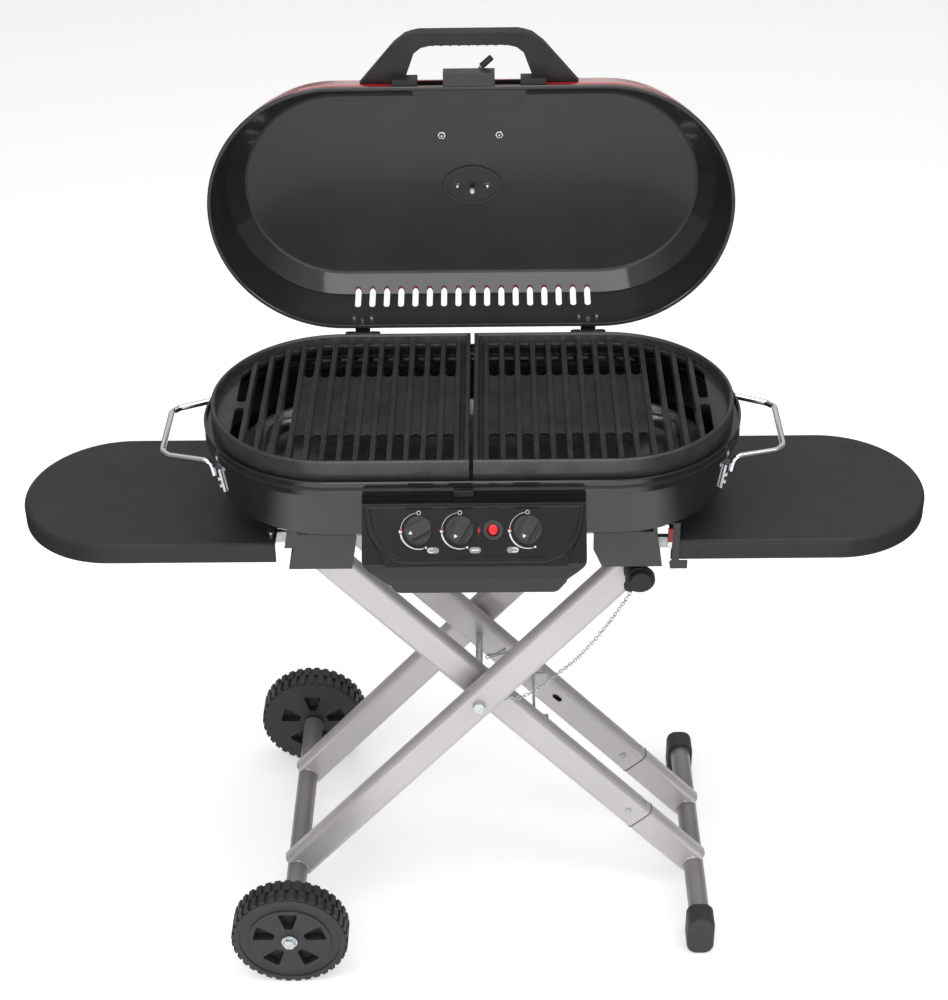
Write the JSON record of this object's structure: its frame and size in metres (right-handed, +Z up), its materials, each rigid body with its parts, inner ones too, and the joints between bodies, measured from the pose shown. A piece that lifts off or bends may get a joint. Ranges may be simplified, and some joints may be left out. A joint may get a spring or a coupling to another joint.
{
  "type": "portable gas grill",
  "caption": "Stand-up gas grill with a stadium firebox, hinged lid, sliding side tables and a wheeled scissor stand that folds flat under it.",
  "frame": {"origin": "on the ground, under the middle of the whole grill's footprint, tables out and lid open", "axes": "+X to the user's right when facing the knobs, +Y to the rear, +Z up"},
  "size_m": [1.18, 0.5324, 1.2075],
  "materials": {
    "gloss_black": "gloss porcelain enamel",
    "satin_black": "satin enamel",
    "lid_red": "gloss enamel",
    "cast_enamel": "matte enamelled cast iron",
    "burner_steel": "heat-dulled stainless",
    "galvanised": "pressed steel",
    "panel_black": "gloss black",
    "knob_black": "satin moulded plastic",
    "handle_black": "textured moulded plastic",
    "button_red": "gloss red",
    "brass": "machined",
    "gas_pipe": "drawn tube",
    "zinc": "bright zinc plate",
    "chrome_wire": "bright chrome",
    "dial_glass": "clear",
    "table_charcoal": "fine textured moulded plastic",
    "bracket_grey": "satin powder coat",
    "leg_silver": "satin metallic paint",
    "foot_rubber": "matte",
    "wheel_plastic": "moulded plastic",
    "tip_rubber": "matte"
  },
  "bodies": {
    "grill_head": {"firebox": "gloss_black", "drip_tray": "galvanised", "burner_left": "burner_steel", "burner_right": "burner_steel", "burner_middle": "burner_steel", "control_panel": "panel_black", "panel_bezel": "panel_black", "gas_valves": "brass", "gas_manifold": "gas_pipe", "regulator": "brass", "igniter_unit": "knob_black", "latch_catch": "satin_black", "hinge_bases": "satin_black", "side_handles": "chrome_wire", "handle_feet": "zinc", "leg_bracket_left": "bracket_grey", "leg_bracket_right": "bracket_grey", "table_catch": "satin_black", "catch_tab": "button_red", "inner_top_pin": "zinc"},
    "lid": {"lid_shell": "lid_red", "lid_liner": "gloss_black", "lid_handle": "handle_black", "latch_housing": "satin_black", "thermometer_plate": "satin_black", "thermometer": "satin_black", "dial_glass": "dial_glass", "lid_plate": "bracket_grey", "lid_nuts": "zinc", "hinge_leaves": "satin_black", "hinge_screws": "zinc"},
    "latch": {"latch_lever": "zinc", "latch_tip": "tip_rubber"},
    "grate_l": {"grate_left": "cast_enamel"},
    "grate_r": {"grate_right": "cast_enamel"},
    "table_l": {"table_left": "table_charcoal", "table_rails_left": "galvanised"},
    "table_r": {"table_right": "table_charcoal", "table_rails_right": "galvanised"},
    "knob_l": {"knob_left": "knob_black"},
    "knob_m": {"knob_middle": "knob_black"},
    "knob_r": {"knob_right": "knob_black"},
    "button": {"igniter_button": "button_red"},
    "inner_frame": {"inner_legs_upper": "leg_silver", "inner_legs_lower": "leg_silver", "leg_spigots": "galvanised", "leg_brace": "bracket_grey", "foot_tube": "leg_silver", "foot_caps": "foot_rubber", "pivot_bolt": "zinc", "leg_spacers": "knob_black"},
    "outer_frame": {"outer_legs": "leg_silver", "axle_tube": "leg_silver", "axle_rod": "zinc", "outer_top_rod": "zinc", "chain": "zinc"},
    "lock": {"lock_lever": "handle_black", "lock_knob": "handle_black"},
    "wheel_f": {"wheel_front": "wheel_plastic"},
    "wheel_r": {"wheel_rear": "wheel_plastic"}
  },
  "joints": [
    {"name": "lid_hinge", "type": "hinge", "parent": "grill_head", "child": "lid", "pos_m": [0, 0.1751, 0.7896], "axis": [1, 0, 0], "range_deg": [0, 91]},
    {"name": "latch_swing", "type": "hinge", "parent": "lid", "child": "latch", "pos_m": [0.007, 0.19526, 1.1486], "axis": [0, 0.9998, -0.0175], "range_deg": [-30, 25], "stiffness_Nm_per_rad": 0.05},
    {"name": "grate_left_lift", "type": "slide", "parent": "grill_head", "child": "grate_l", "axis": [0, 0, -1], "range_m": [-0.06, 0]},
    {"name": "grate_right_lift", "type": "slide", "parent": "grill_head", "child": "grate_r", "axis": [0, 0, -1], "range_m": [-0.06, 0]},
    {"name": "table_left_slide", "type": "slide", "parent": "grill_head", "child": "table_l", "axis": [1, 0, 0], "range_m": [0, 0.235]},
    {"name": "table_right_slide", "type": "slide", "parent": "grill_head", "child": "table_r", "axis": [-1, 0, 0], "range_m": [0, 0.235]},
    {"name": "knob_left_turn", "type": "hinge", "parent": "grill_head", "child": "knob_l", "pos_m": [-0.0635, -0.22031, 0.7395], "axis": [0, -0.7431, 0.6691], "range_deg": [-117, 83]},
    {"name": "knob_middle_turn", "type": "hinge", "parent": "grill_head", "child": "knob_m", "pos_m": [-0.014, -0.22031, 0.7395], "axis": [0, -0.7431, 0.6691], "range_deg": [-150, 50]},
    {"name": "knob_right_turn", "type": "hinge", "parent": "grill_head", "child": "knob_r", "pos_m": [0.0678, -0.22031, 0.7395], "axis": [0, -0.7431, 0.6691], "range_deg": [-152, 48]},
    {"name": "igniter_press", "type": "slide", "parent": "grill_head", "child": "button", "axis": [0, 0.7431, -0.6691], "range_m": [0, 0.004], "stiffness_N_per_m": 400, "springref_m": -0.001},
    {"name": "stand_fold", "type": "hinge", "parent": "grill_head", "child": "inner_frame", "pos_m": [-0.20277, -0.00821, 0.606], "axis": [0, -1, 0], "range_deg": [0, 36], "stiffness_Nm_per_rad": 1500, "springref_deg": -14.32},
    {"name": "scissor_fold", "type": "hinge", "parent": "inner_frame", "child": "outer_frame", "pos_m": [0.0043, -0.00821, 0.381], "axis": [0, 1, 0], "range_deg": [0, 77.5]},
    {"name": "lock_turn", "type": "hinge", "parent": "outer_frame", "child": "lock", "pos_m": [0.21268, -0.14821, 0.61], "axis": [0, -1, 0], "range_deg": [-55, 0], "stiffness_Nm_per_rad": 0.05, "springref_deg": 1.15},
    {"name": "wheel_front_spin", "type": "hinge", "parent": "outer_frame", "child": "wheel_f", "pos_m": [-0.2594, -0.23921, 0.0804], "axis": [0, 1, 0], "continuous": true},
    {"name": "wheel_rear_spin", "type": "hinge", "parent": "outer_frame", "child": "wheel_r", "pos_m": [-0.2594, 0.22279, 0.0804], "axis": [0, 1, 0], "continuous": true}
  ],
  "couplings": [
    {"joint": "scissor_fold", "follows": "stand_fold", "ratio": 2.15}
  ]
}
